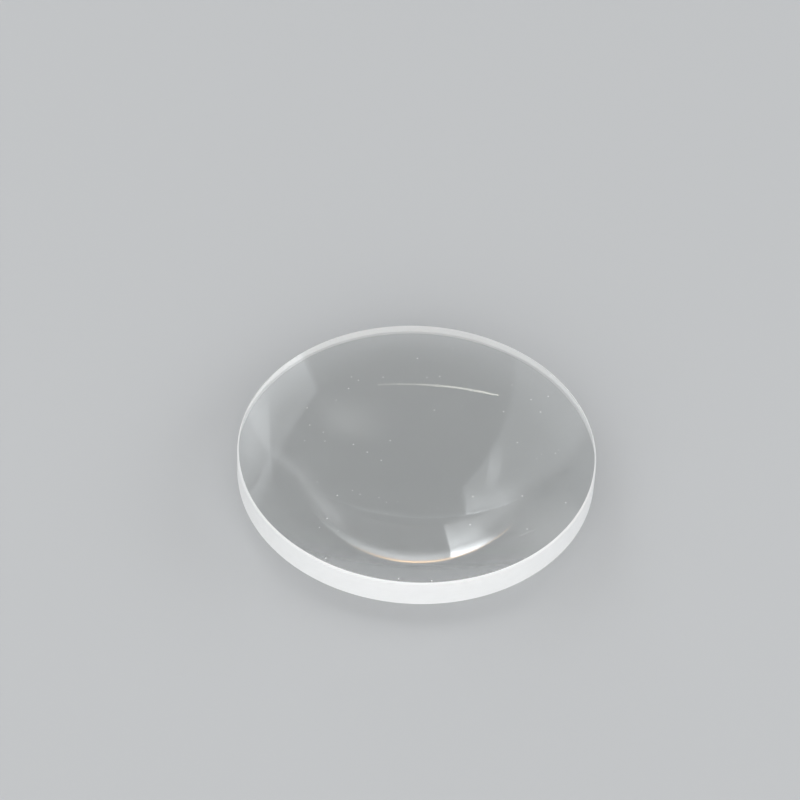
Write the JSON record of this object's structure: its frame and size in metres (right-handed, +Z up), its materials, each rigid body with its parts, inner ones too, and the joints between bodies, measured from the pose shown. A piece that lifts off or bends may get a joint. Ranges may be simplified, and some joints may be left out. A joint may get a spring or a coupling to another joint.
{
  "type": "double-convex condenser lens",
  "caption": "Round clear glass lens with smoothly domed polished faces on both sides, a white finely ground edge and narrow bevelled rims, for gathering light into a beam.",
  "frame": {"origin": "the lowest point of the underside, on the optical axis, where the lens touches the surface it rests on", "axes": "+Z up along the optical axis; the lens is round, so X and Y are equivalent"},
  "size_m": [0.045, 0.045, 0.0092],
  "materials": {
    "clear_glass": "polished spherical faces, finely ground white edge and bevels"
  },
  "bodies": {
    "root": {"lens": "clear_glass"}
  },
  "joints": []
}
